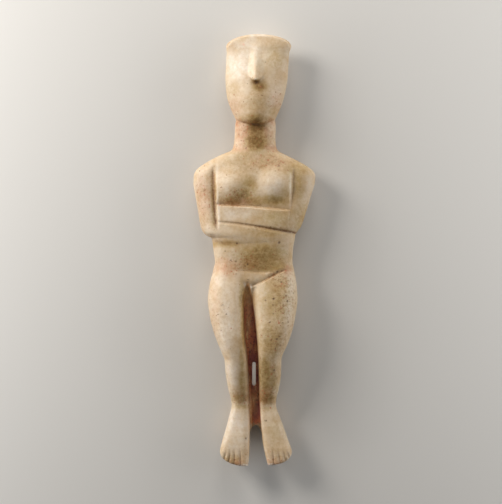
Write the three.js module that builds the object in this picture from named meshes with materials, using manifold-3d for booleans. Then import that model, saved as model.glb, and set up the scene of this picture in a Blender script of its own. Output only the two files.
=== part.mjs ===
// A Cycladic folded-arm figurine of the Spedos kind, carved from one block of marble, lying on its back.
//
// Millimetres. X runs across the shoulders, +Y up the figure towards the crown, +Z from the back to the front.
// The figure rests at z = 0 on small flats behind the head, the shoulders, the buttocks and the heels.
// It is made as the carver made it: rounded masses first, then gouged lines, the leg cleft and the toes.

import * as THREE from "three";
import { mergeVertices } from "three/addons/utils/BufferGeometryUtils.js";
import Module from "manifold-3d";

const wasm = await Module();
wasm.setup();

// ---- Driving dimensions ----

const CROWN = 150; // from the middle of the figure to the top of the head
const TOES = -150; // and to the tip of the big toe
const CLEARANCE = 20; // how far a cutting tool reaches past the marble
const GRAZE = 0.3; // how far a shallow cut or mound passes through the skin, so that the two cross cleanly

// Every mass is a run of oval sections. A row holds
//   place: how far up the figure the section stands
//   left, right: where its two edges lie
//   front, side, back: the heights of its front, of its edges and of its back
const HEAD = {
  rows: [
    [150.0, -19.0, 25.2, 19.4, 18.0, 12.5], // crown
    [146.0, -19.3, 25.7, 20.2, 17.4, 8.0],
    [141.5, -19.6, 25.6, 21.2, 16.6, 4.2], // corners of the crown
    [137.0, -19.4, 24.2, 22.2, 16.0, 1.8],
    [130.0, -19.7, 23.8, 24.2, 15.0, 0.2], // brow
    [119.0, -20.2, 23.1, 26.8, 14.2, -0.3], // cheeks
    [108.0, -19.3, 21.1, 28.4, 13.6, 0.6],
    [102.4, -18.0, 19.5, 28.8, 13.2, 1.6],
    [96.8, -15.8, 17.2, 28.8, 13.0, 2.8], // jaw
    [91.5, -13.5, 15.0, 28.0, 13.0, 4.2],
    [87.3, -13.0, 14.6, 26.8, 13.0, 6.0], // chin
  ],
  frontPower: 1.75, // under 2 the face is ridged along its middle, over 2 it is flattened
  backPower: 2.3,
  domes: [
    { from: 141.5, to: CROWN, height: 19.0 }, // the crown closes onto its front edge
    { from: 92.5, to: 87.0, height: 23.5 }, // the chin closes high above the throat
  ],
};

const NECK = {
  rows: [
    [98.0, -11.5, 12.8, 20.0, 12.6, 5.6], // inside the head
    [86.0, -13.5, 14.9, 21.4, 12.4, 4.8],
    [77.0, -14.0, 14.7, 21.9, 12.3, 4.6],
    [71.5, -14.8, 15.3, 22.4, 12.2, 4.2],
    [66.0, -17.5, 17.0, 22.4, 12.2, 3.8], // inside the shoulders
    [60.0, -18.0, 17.5, 22.0, 12.0, 4.0],
  ],
  frontPower: 2.0,
  backPower: 2.2,
  domes: [],
};

const TRUNK = {
  rows: [
    [73.0, -11.5, 12.0, 19.5, 12.4, 6.2], // inside the neck
    [69.3, -16.2, 16.2, 21.6, 12.2, 4.6],
    [66.3, -23.4, 21.8, 22.6, 12.2, 3.8],
    [62.0, -31.8, 30.5, 23.6, 12.1, 2.8],
    [58.0, -38.1, 37.3, 24.4, 12.0, 2.0],
    [54.8, -41.2, 41.2, 24.9, 12.0, 1.3], // shoulders
    [51.5, -42.4, 42.6, 25.4, 12.0, 0.7],
    [46.5, -42.6, 42.1, 25.8, 12.0, 0.1],
    [38.6, -41.4, 39.8, 26.2, 12.0, -0.4], // shoulder blades
    [27.5, -39.5, 36.4, 27.0, 12.0, -0.2],
    [16.4, -37.5, 32.6, 27.4, 12.1, 0.6],
    [12.6, -36.0, 29.9, 27.4, 12.2, 0.9], // elbows
    [10.2, -33.6, 28.6, 27.3, 12.3, 1.2],
    [7.8, -29.8, 28.2, 27.1, 12.4, 1.5],
    [-0.5, -28.6, 26.9, 26.0, 12.6, 2.6],
    [-8.6, -27.6, 26.6, 24.8, 12.8, 3.0], // waist
    [-14.5, -28.9, 27.8, 24.2, 12.8, 2.4],
    [-20.0, -29.6, 28.0, 24.4, 12.8, 1.4],
    [-28.0, -24.0, 22.0, 21.0, 12.6, 2.5], // inside the thighs
    [-36.0, -14.0, 12.0, 16.5, 12.6, 8.4],
  ],
  frontPower: 2.35,
  backPower: 2.7,
  domes: [],
};

// The legs and feet are listed from the viewer's left to the viewer's right.
const LEGS = [
  {
    name: "left",
    rows: [
      [-4.0, -24.0, -8.0, 21.0, 12.8, 6.0], // inside the belly
      [-13.0, -27.8, -4.0, 23.6, 12.8, 2.6],
      [-19.0, -30.2, -3.6, 25.0, 12.8, 1.0],
      [-26.0, -31.7, -3.6, 26.6, 12.8, -0.1],
      [-34.0, -32.5, -3.8, 28.0, 12.9, -0.4], // buttocks
      [-44.0, -31.5, -4.2, 29.2, 13.2, 1.2],
      [-56.0, -28.7, -4.2, 29.8, 14.6, 5.2],
      [-66.0, -25.1, -3.9, 29.2, 15.6, 8.2],
      [-73.0, -22.2, -3.6, 28.0, 15.4, 9.0], // knee
      [-76.5, -20.9, -3.4, 27.0, 14.8, 8.8],
      [-86.0, -20.1, -3.2, 24.4, 12.8, 6.4],
      [-97.0, -18.4, -3.0, 20.8, 10.4, 3.2], // calf
      [-105.0, -16.3, -3.0, 17.6, 8.8, 1.2],
      [-109.0, -15.8, -3.0, 16.2, 8.0, 0.4], // ankle
      [-114.0, -14.5, -4.0, 14.5, 7.8, 1.6], // inside the foot
    ],
    frontPower: 2.3,
    backPower: 2.4,
    domes: [],
  },
  {
    name: "right",
    rows: [
      [-3.0, 8.0, 22.0, 21.0, 12.8, 6.0],
      [-13.0, 0.0, 26.9, 23.8, 12.8, 2.6],
      [-19.0, -1.5, 28.8, 25.4, 12.8, 1.0],
      [-26.0, -2.4, 29.7, 26.8, 12.8, -0.1],
      [-34.0, -2.4, 30.1, 28.0, 12.9, -0.4],
      [-44.0, -1.6, 29.0, 29.2, 13.2, 1.2],
      [-56.0, -0.6, 26.4, 29.8, 14.6, 5.2],
      [-66.0, 0.4, 22.9, 29.2, 15.6, 8.2],
      [-73.0, 1.0, 19.7, 28.0, 15.4, 9.0],
      [-76.5, 1.2, 18.8, 27.0, 14.8, 8.8],
      [-86.0, 1.6, 18.6, 24.4, 12.8, 6.4],
      [-97.0, 2.0, 17.1, 20.8, 10.4, 3.2],
      [-105.0, 2.4, 15.3, 17.6, 8.8, 1.2],
      [-109.0, 2.6, 15.0, 16.2, 8.0, 0.4],
      [-114.0, 3.6, 14.0, 14.5, 7.8, 1.6],
    ],
    frontPower: 2.5,
    backPower: 2.4,
    domes: [],
  },
];

const FEET = [
  {
    name: "left",
    rows: [
      [-103.0, -14.0, -4.5, 15.6, 8.6, 3.0], // inside the shin
      [-109.0, -15.9, -3.2, 16.4, 8.0, 0.4],
      [-116.0, -17.6, -2.9, 17.4, 8.2, -0.4], // heel
      [-123.0, -19.4, -2.7, 18.2, 9.0, 0.4],
      [-131.0, -21.8, -3.0, 19.2, 11.2, 3.4],
      [-140.0, -24.0, -3.4, 20.2, 14.0, 7.4],
      [-147.0, -24.6, -4.0, 20.4, 15.8, 10.6],
      [TOES, -24.8, -4.4, 20.2, 16.4, 12.0],
    ],
    frontPower: 3.2,
    backPower: 2.6,
    toeArc: { from: -140.0, pivot: -7.4 }, // the toes end on an arc that turns about the big toe
    domes: [],
  },
  {
    name: "right",
    rows: [
      [-103.0, 4.0, 13.5, 15.6, 8.6, 3.0],
      [-109.0, 3.0, 15.1, 16.4, 8.0, 0.4],
      [-116.0, 3.0, 17.3, 17.4, 8.2, -0.4],
      [-123.0, 3.8, 20.1, 18.2, 9.0, 0.4],
      [-131.0, 5.2, 22.9, 19.2, 11.2, 3.4],
      [-140.0, 6.9, 26.0, 20.2, 14.0, 7.4],
      [-147.0, 8.6, 27.2, 20.4, 15.8, 10.6],
      [-149.4, 9.2, 27.6, 20.2, 16.4, 12.0],
    ],
    frontPower: 3.2,
    backPower: 2.6,
    toeArc: { from: -139.5, pivot: 11.8 },
    domes: [],
  },
];

// The slab of marble left standing between the legs. The cleft in front is cut down to it.
const WEB = {
  rows: [
    [-12.0, -7.0, 3.0, 22.5, 12.8, 4.0],
    [-24.0, -9.0, 3.5, 23.0, 12.8, 4.4],
    [-36.0, -9.0, 4.0, 18.5, 12.5, 8.6],
    [-60.0, -8.5, 5.5, 18.5, 14.0, 10.6],
    [-78.0, -7.5, 6.5, 17.5, 13.5, 10.4],
    [-97.0, -7.0, 6.5, 14.5, 9.5, 6.6],
    [-112.0, -7.0, 7.5, 12.5, 7.5, 4.8],
    [-126.0, -7.5, 8.0, 12.0, 7.5, 4.6],
  ],
  frontPower: 8,
  backPower: 8,
  domes: [],
};

// The leg cleft. Each row holds the place, the two edges of the cut at the skin, and the height of its floor.
const CLEFT = {
  rows: [
    [-20.0, -5.2, -4.6, 26.0],
    [-24.0, -6.4, -3.4, 21.5],
    [-29.0, -7.7, -2.4, 17.0],
    [-36.0, -8.0, -1.2, 15.6],
    [-49.0, -7.9, 0.8, 15.8],
    [-63.0, -7.2, 2.1, 15.8],
    [-76.0, -6.0, 3.0, 15.0],
    [-90.0, -5.2, 3.5, 12.6],
    [-104.0, -4.7, 4.0, 10.4],
    [-114.0, -4.5, 4.6, 9.4],
    [-130.0, -4.4, 5.8, 9.0],
  ],
  skin: 27, // the height at which the edges are measured
  draft: [0.19, 0.05], // how far the left and the right wall lean in for each millimetre down
};

// Where the cleft pierces the slab between the calves, and where the slab ends between the feet.
const SLOT = { x: -0.3, top: -78.2, bottom: -95.0, width: 2.5 };
const FEET_GAP = { top: -122.8, left: [-2.4, -3.6], right: [4.0, 8.8], arch: 3.0 };

const NOSE = { x: 1.0, top: 139.0, tip: 117.6, rise: [0.3, 4.8], halfWidth: [1.9, 4.1] };
const BREASTS = [
  { x: -15.6, y: 43.4, radius: 11.0, rise: 3.0 },
  { x: 14.6, y: 44.6, radius: 11.0, rise: 3.0 },
];

// Gouged lines. A path point holds x, y and the depth there. The flanks are the widths of the cut's two slopes, on the
// left and on the right hand as one follows the path. A steep flank against a wide one leaves a step.
const GOUGES = [
  {
    name: "left arm against the chest",
    on: "trunk",
    path: [[-28.4, 58.5, 0], [-28.0, 52.0, 1.5], [-27.5, 40.0, 1.9], [-26.9, 28.0, 1.8], [-26.0, 19.0, 1.3], [-25.4, 13.5, 0]],
    flanks: [1.5, 6.5],
  },
  {
    name: "right arm against the chest",
    on: "trunk",
    path: [[27.3, 57.0, 0], [26.9, 50.0, 1.4], [26.3, 41.0, 1.8], [25.5, 33.0, 1.3], [25.0, 28.5, 0]],
    flanks: [5.0, 1.3],
  },
  {
    name: "foot of the chest, above the upper forearm",
    on: "trunk",
    path: [[-27.0, 30.8, 0.6], [-22.0, 30.6, 1.7], [-3.0, 29.9, 1.9], [14.0, 28.6, 1.8], [22.5, 27.6, 1.0], [27.0, 27.0, 0]],
    flanks: [9.0, 0.7],
  },
  {
    name: "between the forearms",
    on: "trunk",
    path: [[-27.0, 19.8, 0.4], [-22.0, 19.3, 0.9], [-10.0, 18.1, 1.0], [4.0, 16.0, 1.2], [14.4, 14.1, 1.4], [22.7, 12.6, 1.5], [31.0, 11.6, 1.2]],
    flanks: [0.9, 0.9],
  },
  {
    name: "under the lower forearm",
    on: "trunk",
    path: [[-35.0, 8.6, 0.6], [-28.6, 6.9, 1.4], [-22.0, 5.2, 1.3], [-12.0, 4.6, 1.1], [-2.0, 5.0, 0.7], [10.0, 5.8, 0.5], [24.0, 6.6, 0]],
    flanks: [1.0, 6.0],
  },
  {
    name: "crease below the belly",
    on: "trunk",
    path: [[-20.0, -14.6, 0], [-8.0, -15.0, 0.6], [4.0, -15.6, 0.8], [14.0, -15.8, 0.7], [21.0, -15.2, 0]],
    flanks: [7.0, 1.4],
  },
  {
    name: "groin line",
    on: "thigh",
    path: [[-2.4, -25.6, 0.5], [4.5, -22.5, 1.1], [12.0, -18.4, 1.4], [18.5, -15.2, 1.0], [23.0, -13.6, 0]],
    flanks: [4.0, 0.7],
  },
  {
    name: "spine",
    on: "spine",
    path: [[0.4, 64.0, 0], [0.4, 56.0, 1.0], [0.0, 30.0, 1.2], [-0.6, 6.0, 1.2], [-1.4, -20.0, 1.4], [-1.6, -27.0, 0]],
    flanks: [1.3, 1.3],
  },
];

// Between the toes: where each of the four cuts starts on the instep and where it runs out past the toes.
const TOE_CUTS = {
  left: [
    [[-10.2, -135.5], [-9.3, -152.0]],
    [[-14.0, -136.0], [-13.9, -152.0]],
    [[-16.6, -136.5], [-18.0, -151.0]],
    [[-19.2, -138.0], [-21.8, -149.0]],
  ],
  right: [
    [[12.4, -135.5], [13.9, -152.0]],
    [[15.8, -136.0], [18.7, -152.0]],
    [[19.4, -136.5], [22.2, -150.0]],
    [[22.2, -138.0], [25.0, -148.0]],
  ],
};
const TOE_CUT_DEPTH = 1.7;
const TOE_CUT_HALF_WIDTH = 1.1;

// ---- Masses ----

// A smooth run through rows that start with their place: returns place => the row's other numbers. The slopes are
// limited so that a run never swings past the rows on either side.
function smoothRun(rows) {
  const sorted = [...rows].sort((a, b) => a[0] - b[0]);
  const slope = (i, column) =>
    (sorted[i + 1][column] - sorted[i][column]) / (sorted[i + 1][0] - sorted[i][0]);
  const tangent = (i, column) => {
    if (i === 0) return slope(0, column);
    if (i === sorted.length - 1) return slope(i - 1, column);
    const before = slope(i - 1, column);
    const after = slope(i, column);
    return before * after <= 0 ? 0 : (2 * before * after) / (before + after);
  };
  return (place) => {
    const at = THREE.MathUtils.clamp(place, sorted[0][0], sorted.at(-1)[0]);
    const i = Math.min(
      sorted.findLastIndex((row) => row[0] <= at),
      sorted.length - 2,
    );
    const span = sorted[i + 1][0] - sorted[i][0];
    const t = (at - sorted[i][0]) / span;
    return sorted[i].slice(1).map((start, k) => {
      const end = sorted[i + 1][k + 1];
      const leave = tangent(i, k + 1) * span;
      const arrive = tangent(i + 1, k + 1) * span;
      return (
        start * (1 + 2 * t) * (1 - t) ** 2 +
        leave * t * (1 - t) ** 2 +
        end * t * t * (3 - 2 * t) -
        arrive * t * t * (1 - t)
      );
    });
  };
}

// One section of a mass: its edges and heights, with the domed ends and the arc of the toes taken into account.
function sectionOf(mass, place) {
  mass.run ??= smoothRun(mass.rows);
  let [left, right, front, side, back] = mass.run(place);
  for (const { from, to, height } of mass.domes) {
    const share = (place - from) / (to - from);
    if (share <= 0) continue;
    const size = Math.sqrt(Math.max(1 - share * share, 0));
    const middle = (left + right) / 2;
    [left, right] = [left, right].map((edge) => middle + (edge - middle) * size);
    [front, side, back] = [front, side, back].map((z) => height + (z - height) * size);
  }
  if (mass.toeArc && place < mass.toeArc.from) {
    const { from, pivot } = mass.toeArc;
    const end = mass.rows.at(-1)[0];
    const size = Math.sqrt(Math.max(1 - ((from - place) / (from - end)) ** 2, 0));
    const outerIsLeft = Math.abs(left) > Math.abs(right);
    if (outerIsLeft) left = pivot + (left - pivot) * size;
    else right = pivot + (right - pivot) * size;
  }
  return { left, right, front, side, back };
}

// The height of a mass's front, or of its back, above a point of the table.
function heightOf(mass, x, y, face = "front") {
  const s = sectionOf(mass, y);
  const power = face === "front" ? mass.frontPower : mass.backPower;
  const across = Math.abs(x - (s.left + s.right) / 2) / ((s.right - s.left) / 2);
  return s.side + (s[face] - s.side) * Math.max(1 - across ** power, 0) ** (1 / power);
}

// A closed skin over a list of rings with the same number of points, capped by a fan at each end.
function skinOver(rings) {
  const count = rings[0].length;
  const points = rings.flat();
  const faces = [];
  for (let r = 0; r + 1 < rings.length; r++)
    for (let k = 0; k < count; k++) {
      const a = r * count + k;
      const b = r * count + ((k + 1) % count);
      faces.push([a, a + count, b], [b, a + count, b + count]);
    }
  const caps = [rings[0], rings.at(-1)];
  caps.forEach((ring, end) => {
    const first = end ? (rings.length - 1) * count : 0;
    const middle = points.length;
    points.push(ring.reduce((sum, p) => sum.add(p), new THREE.Vector3()).divideScalar(count));
    for (let k = 0; k < count; k++) {
      const edge = [first + k, first + ((k + 1) % count)];
      faces.push(end ? [middle, edge[1], edge[0]] : [middle, edge[0], edge[1]]);
    }
  });
  return new THREE.BufferGeometry().setFromPoints(points).setIndex(faces.flat());
}

// A three.js geometry as a solid, with its faces turned to point out.
function solidOf(geometry) {
  const bare = geometry.clone();
  bare.deleteAttribute("normal");
  bare.deleteAttribute("uv");
  const merged = mergeVertices(bare, 1e-4);
  const vertProperties = Float32Array.from(merged.attributes.position.array);
  const triVerts = Uint32Array.from(merged.index.array);
  const make = () => new wasm.Manifold(new wasm.Mesh({ numProp: 3, vertProperties, triVerts }));
  const solid = make();
  if (solid.volume() > 0) return solid;
  for (let i = 0; i < triVerts.length; i += 3)
    [triVerts[i], triVerts[i + 1]] = [triVerts[i + 1], triVerts[i]];
  return make();
}

// Signed power, which squares or pinches an oval section.
const bend = (value, power) => Math.sign(value) * Math.abs(value) ** (2 / power);

// Where a mass is cut into sections: a step apart at most, and closer together where an end is domed or arched.
function placesOf(mass, step) {
  const rounded = [...mass.domes];
  if (mass.toeArc) rounded.push({ from: mass.toeArc.from, to: mass.rows.at(-1)[0] });
  const inRounded = (place) => rounded.some(({ from, to }) => (place - from) * (place - to) <= 0);
  const even = mass.rows.flatMap(([place], i) => {
    const next = mass.rows[i + 1]?.[0] ?? place;
    const parts = Math.max(Math.ceil((place - next) / step), 1);
    return Array.from({ length: parts }, (_, k) => place + ((next - place) * k) / parts);
  });
  const bends = rounded.flatMap(({ from, to }) =>
    [0, 25, 45, 60, 72, 81, 87].map((turn) => from + (to - from) * Math.sin(THREE.MathUtils.degToRad(turn))),
  );
  const top = mass.rows[0][0];
  const end = mass.rows.at(-1)[0];
  return [...even.filter((place) => !inRounded(place)), ...bends]
    .filter((place) => place <= top && place >= end)
    .sort((a, b) => b - a);
}

// A mass as a solid: a closed skin over its oval sections.
function massSolid(mass, step, around) {
  const rings = placesOf(mass, step).map((place) => {
    const s = sectionOf(mass, place);
    return Array.from({ length: around }, (_, k) => {
      const turn = (2 * Math.PI * k) / around;
      const face = Math.sin(turn) >= 0 ? "front" : "back";
      const power = face === "front" ? mass.frontPower : mass.backPower;
      const across = bend(Math.cos(turn), power);
      const up = Math.abs(bend(Math.sin(turn), power));
      return new THREE.Vector3(
        (s.left + s.right) / 2 + (across * (s.right - s.left)) / 2,
        place,
        s.side + (s[face] - s.side) * up,
      );
    });
  });
  return solidOf(skinOver(rings));
}

// A breast: a low mound on the chest, whose rim sinks just under the skin.
function breastSolid({ x, y, radius, rise }) {
  const ring = (share, lift) =>
    Array.from({ length: 20 }, (_, k) => {
      const turn = (2 * Math.PI * k) / 20;
      const px = x + radius * share * Math.cos(turn);
      const py = y + radius * share * Math.sin(turn);
      return new THREE.Vector3(px, py, heightOf(TRUNK, px, py) + lift);
    });
  const skin = [0.1, 0.3, 0.5, 0.7, 0.86, 1].map((share) =>
    ring(share, rise * (1 - share * share) ** 1.6 - GRAZE),
  );
  return solidOf(skinOver([...skin, ring(1, -rise)]));
}

// The nose: a ridge that grows out of the brow and ends in a cut-off tip.
function noseSolid() {
  const { x, top, tip, rise, halfWidth } = NOSE;
  const undercut = 0.9; // the tip overhangs nothing: it slopes in below over this length
  const rings = [[top, 0], [(top + tip) / 2, 0.5], [tip, 1], [tip - undercut, 1]].map(([place, share]) => {
    const half = THREE.MathUtils.lerp(...halfWidth, share);
    const lift = place < tip ? 0.4 : THREE.MathUtils.lerp(...rise, share);
    const point = (across, up) =>
      new THREE.Vector3(x + across * half, place, heightOf(HEAD, x + across * half, place) + up);
    return [point(-1.2, -4), point(1.2, -4), point(1.2, -2), point(0.35, lift), point(-0.35, lift), point(-1.2, -2)];
  });
  return solidOf(skinOver(rings));
}

// ---- Cuts ----

const SKINS = {
  trunk: (x, y) => heightOf(TRUNK, x, y),
  thigh: (x, y) => Math.max(heightOf(TRUNK, x, y), heightOf(LEGS[1], x, y)),
  spine: (x, y) => heightOf(TRUNK, x, y, "back"),
};

// A gouged line as a solid to cut away: a channel that follows the skin and is open towards the outside. It narrows
// where it grows shallow, so that it runs out to nothing.
function gougeSolid({ on, path, flanks }) {
  const skin = SKINS[on];
  const outward = on === "spine" ? -1 : 1;
  const deepest = Math.max(...path.map((point) => point[2]));
  const curve = new THREE.CatmullRomCurve3(path.map((point) => new THREE.Vector3(...point)), false, "centripetal");
  const steps = Math.ceil(curve.getLength() / 4.5);
  const raise = new THREE.Vector3(0, 0, outward * CLEARANCE);
  const rings = Array.from({ length: steps + 1 }, (_, i) => {
    const p = curve.getPointAt(i / steps);
    const depth = Math.max(p.z, 0.02);
    const along = curve.getTangentAt(i / steps).setZ(0).normalize();
    const narrowing = Math.sqrt(depth / deepest);
    const point = (sideways, below) => {
      const x = p.x - along.y * sideways * narrowing;
      const y = p.y + along.x * sideways * narrowing;
      return new THREE.Vector3(x, y, skin(x, y) - outward * below);
    };
    const [left, right] = [point(flanks[0], -GRAZE), point(-flanks[1], -GRAZE)];
    const [leftHollow, rightHollow] = [flanks[0], -flanks[1]].map((flank) => point(0.8 * flank, 0.3 * depth));
    const raised = [right, left].map((edge) => edge.clone().add(raise));
    return [left, leftHollow, point(0, depth), rightHollow, right, ...raised];
  });
  return solidOf(skinOver(rings));
}

// The leg cleft as a solid to cut away, from its floor up past the skin.
function cleftSolid() {
  const { rows, skin, draft } = CLEFT;
  const mouth = skin + CLEARANCE;
  const rings = rows.map(([place, left, right, floor]) => {
    const onLeft = (z) => new THREE.Vector3(left + draft[0] * (skin - z), place, z);
    const onRight = (z) => new THREE.Vector3(right - draft[1] * (skin - z), place, z);
    return [onLeft(floor), onRight(floor), onRight(mouth), onLeft(mouth)];
  });
  return solidOf(skinOver(rings));
}

// An outline seen from the front, cut or kept through the whole thickness of the figure.
function throughSolid(shape) {
  const depth = 4 * CLEARANCE;
  const geometry = new THREE.ExtrudeGeometry(shape, { depth, bevelEnabled: false, curveSegments: 8 });
  return solidOf(geometry.translate(0, 0, -CLEARANCE));
}

function slotShape() {
  const { x, top, bottom, width } = SLOT;
  const r = width / 2;
  const shape = new THREE.Shape().moveTo(x - r, bottom + r);
  shape.absarc(x, bottom + r, r, Math.PI, 2 * Math.PI);
  shape.absarc(x, top - r, r, 0, Math.PI);
  return shape;
}

function feetGapShape() {
  const { top, left, right, arch } = FEET_GAP;
  const end = TOES - CLEARANCE;
  const widen = (side) => side[0] + ((side[1] - side[0]) * (top - end)) / (top - TOES);
  return new THREE.Shape()
    .moveTo(widen(left), end)
    .lineTo(left[0], top - arch)
    .quadraticCurveTo(left[0] + 0.6, top, (left[0] + right[0]) / 2, top)
    .quadraticCurveTo(right[0] - 0.6, top, right[0], top - arch)
    .lineTo(widen(right), end);
}

// The cut between two toes: a wedge that deepens from the instep to the ends of the toes.
function toeCutSolid(foot, [start, end]) {
  const along = new THREE.Vector2(...end).sub(new THREE.Vector2(...start)).normalize();
  const across = new THREE.Vector3(-along.y, along.x, 0).multiplyScalar(TOE_CUT_HALF_WIDTH);
  const rings = [0, 0.45, 1].map((share) => {
    const x = THREE.MathUtils.lerp(start[0], end[0], share);
    const y = THREE.MathUtils.lerp(start[1], end[1], share);
    const top = foot.run(y)[2];
    const depth = TOE_CUT_DEPTH * Math.min(1, share * 1.6);
    const width = 0.35 + 0.65 * Math.min(1, share * 1.6);
    const rim = new THREE.Vector3(x, y, top + 0.3);
    const out = across.clone().multiplyScalar(width);
    const raise = new THREE.Vector3(0, 0, CLEARANCE);
    const left = rim.clone().add(out);
    const right = rim.clone().sub(out);
    return [left, new THREE.Vector3(x, y, top - depth), right, right.clone().add(raise), left.clone().add(raise)];
  });
  return solidOf(skinOver(rings));
}

// ---- The figure ----

function figureSolid() {
  const masses = [
    massSolid(HEAD, 6, 26),
    massSolid(NECK, 8, 20),
    massSolid(TRUNK, 5, 36),
    ...LEGS.map((leg) => massSolid(leg, 8, 20)),
    ...FEET.map((foot) => massSolid(foot, 7, 18)),
    massSolid(WEB, 24, 12),
    ...BREASTS.map(breastSolid),
    noseSolid(),
  ];
  const table = new THREE.BoxGeometry(400, 400, CLEARANCE).translate(0, 0, -CLEARANCE / 2);
  const cuts = [
    solidOf(table), // the flats that the figure rests on
    cleftSolid(),
    throughSolid(slotShape()),
    throughSolid(feetGapShape()),
    ...GOUGES.map(gougeSolid),
    ...FEET.flatMap((foot) => TOE_CUTS[foot.name].map((cut) => toeCutSolid(foot, cut))),
  ];
  const block = masses.reduce((whole, mass) => whole.add(mass));
  return cuts.reduce((whole, cut) => whole.subtract(cut), block);
}

function meshOf(name, solid, material) {
  const { numProp, vertProperties, triVerts } = solid.getMesh();
  const corners = new THREE.InterleavedBuffer(vertProperties, numProp);
  const geometry = new THREE.BufferGeometry()
    .setAttribute("position", new THREE.InterleavedBufferAttribute(corners, 3, 0))
    .setIndex(new THREE.BufferAttribute(triVerts, 1));
  const mesh = new THREE.Mesh(geometry.toNonIndexed(), material);
  mesh.geometry.computeVertexNormals();
  mesh.name = name;
  return mesh;
}

const marble = new THREE.MeshStandardMaterial({ color: 0xdcc8ab, roughness: 0.6, metalness: 0 });

const figurine = new THREE.Group();
figurine.add(meshOf("figurine", figureSolid(), marble));

export default figurine;
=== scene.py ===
"""The looks of a Cycladic folded-arm figurine: one block of marble, carved by hand and stained by the ground.

The figurine lies on its back, crown towards +Y and face up. Its form is a field that is negative inside the
marble, put together as the carver worked: oval masses, then gouged lines, the leg cleft and the toes. A fine
net is stretched over the field and settled onto it, and each of its points notes how hollow, how sharp and how
stained the marble is there, which the material turns into dirt, patina and pigment, and also into painted
shade in hollows and under forms, and painted highlights on edges and a few lit spots.

Lengths in the tables are in parts, of which the figurine's length has 300, and are scaled to the frame.
"""

import bpy
import numpy as np
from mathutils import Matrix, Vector


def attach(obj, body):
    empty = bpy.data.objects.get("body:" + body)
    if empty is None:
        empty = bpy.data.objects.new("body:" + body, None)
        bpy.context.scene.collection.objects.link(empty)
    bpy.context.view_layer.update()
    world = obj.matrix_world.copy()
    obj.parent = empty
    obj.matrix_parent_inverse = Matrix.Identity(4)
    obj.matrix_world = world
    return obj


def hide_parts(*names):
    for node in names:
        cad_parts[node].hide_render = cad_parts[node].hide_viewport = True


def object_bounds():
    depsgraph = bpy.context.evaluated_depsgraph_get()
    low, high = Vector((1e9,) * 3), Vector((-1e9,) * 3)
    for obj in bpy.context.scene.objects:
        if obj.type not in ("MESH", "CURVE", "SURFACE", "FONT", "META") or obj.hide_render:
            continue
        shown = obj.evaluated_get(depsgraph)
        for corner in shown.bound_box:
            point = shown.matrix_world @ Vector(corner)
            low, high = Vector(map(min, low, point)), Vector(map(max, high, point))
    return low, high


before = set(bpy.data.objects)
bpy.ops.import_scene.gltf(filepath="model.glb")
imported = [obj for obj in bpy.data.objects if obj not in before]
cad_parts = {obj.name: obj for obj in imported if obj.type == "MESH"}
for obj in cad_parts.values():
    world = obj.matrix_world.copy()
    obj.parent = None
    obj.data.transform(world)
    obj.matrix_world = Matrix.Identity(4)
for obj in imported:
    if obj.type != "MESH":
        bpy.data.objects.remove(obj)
frame_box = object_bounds()
LOW, HIGH = frame_box
PART = (HIGH.y - LOW.y) / 300
MIDDLE = (LOW + HIGH) / 2

# ---- The form, in parts ----

# A mass is a run of oval sections. A row holds the place up the figure, the section's left and right edge,
# and the heights of its front, its edges and its back. The powers shape front and back: 2 is an ellipse, more
# is squarer, and less is ridged. A dome closes an end: from where, to where, and at what height.
HEAD = dict(
    rows=[
        (150.0, -19.0, 25.2, 19.4, 18.0, 12.5),  # crown
        (146.0, -19.3, 25.7, 20.2, 17.4, 8.0),
        (141.5, -19.6, 25.6, 21.2, 16.6, 4.2),  # corners of the crown
        (137.0, -19.4, 24.2, 22.2, 16.0, 1.8),
        (130.0, -19.7, 23.8, 24.2, 15.0, 0.2),  # brow
        (119.0, -20.2, 23.1, 26.8, 14.2, -0.3),  # cheeks
        (108.0, -19.3, 21.1, 28.4, 13.6, 0.6),
        (102.4, -18.0, 19.5, 28.8, 13.2, 1.6),
        (96.8, -15.8, 17.2, 28.8, 13.0, 2.8),  # jaw
        (91.5, -13.5, 15.0, 28.0, 13.0, 4.2),
        (87.3, -13.0, 14.6, 26.8, 13.0, 6.0),  # chin
    ],
    powers=(1.75, 2.3),
    domes=[(141.5, 150.0, 19.0), (92.5, 87.0, 23.5)],
)
NECK = dict(
    rows=[
        (98.0, -11.5, 12.8, 20.0, 12.6, 5.6),  # inside the head
        (86.0, -13.5, 14.9, 21.4, 12.4, 4.8),
        (77.0, -14.0, 14.7, 21.9, 12.3, 4.6),
        (71.5, -14.8, 15.3, 22.4, 12.2, 4.2),
        (66.0, -17.0, 16.5, 22.0, 12.2, 4.0),  # inside the shoulders
        (60.0, -17.0, 16.5, 21.0, 12.0, 5.0),
    ],
    powers=(2.0, 2.2),
    domes=[],
)
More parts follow.
